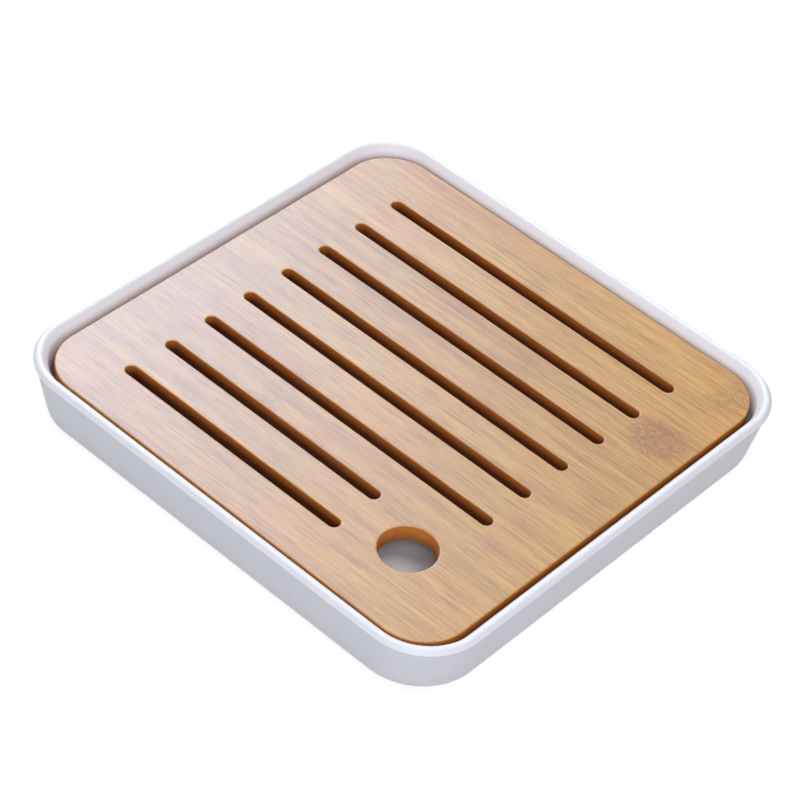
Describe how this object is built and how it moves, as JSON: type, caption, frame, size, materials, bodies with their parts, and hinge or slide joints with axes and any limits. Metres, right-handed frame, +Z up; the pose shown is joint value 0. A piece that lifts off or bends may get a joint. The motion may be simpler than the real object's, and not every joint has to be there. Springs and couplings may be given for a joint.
{
  "type": "gongfu tea tray",
  "caption": "Square tea tray: a slotted bamboo deck with a finger hole lies loose on posts in a white moulded pan that catches the waste water.",
  "frame": {"origin": "on the table, under the middle of the pan", "axes": "+Z up, X along the drain slots with the finger hole at the +X end, Y across the slots with the finger hole near the -Y side"},
  "size_m": [0.2508, 0.2446, 0.03],
  "materials": {
    "white_pan": "glossy white moulded melamine",
    "bamboo": "sanded natural bamboo under a satin clear coat",
    "foot_rubber": "matt grey rubber"
  },
  "bodies": {
    "pan": {"pan": "white_pan", "foot_front_left": "foot_rubber", "foot_front_right": "foot_rubber", "foot_back_left": "foot_rubber", "foot_back_right": "foot_rubber"},
    "deck": {"deck_strip_1": "bamboo", "deck_strip_2": "bamboo", "deck_strip_3": "bamboo", "deck_strip_4": "bamboo", "deck_strip_5": "bamboo", "deck_strip_6": "bamboo", "deck_strip_7": "bamboo", "deck_strip_8": "bamboo", "deck_strip_9": "bamboo", "deck_strip_10": "bamboo"}
  },
  "joints": [
    {"name": "deck_lift", "type": "slide", "parent": "pan", "child": "deck", "axis": [0, 0, 1], "range_m": [0, 0.06]}
  ]
}
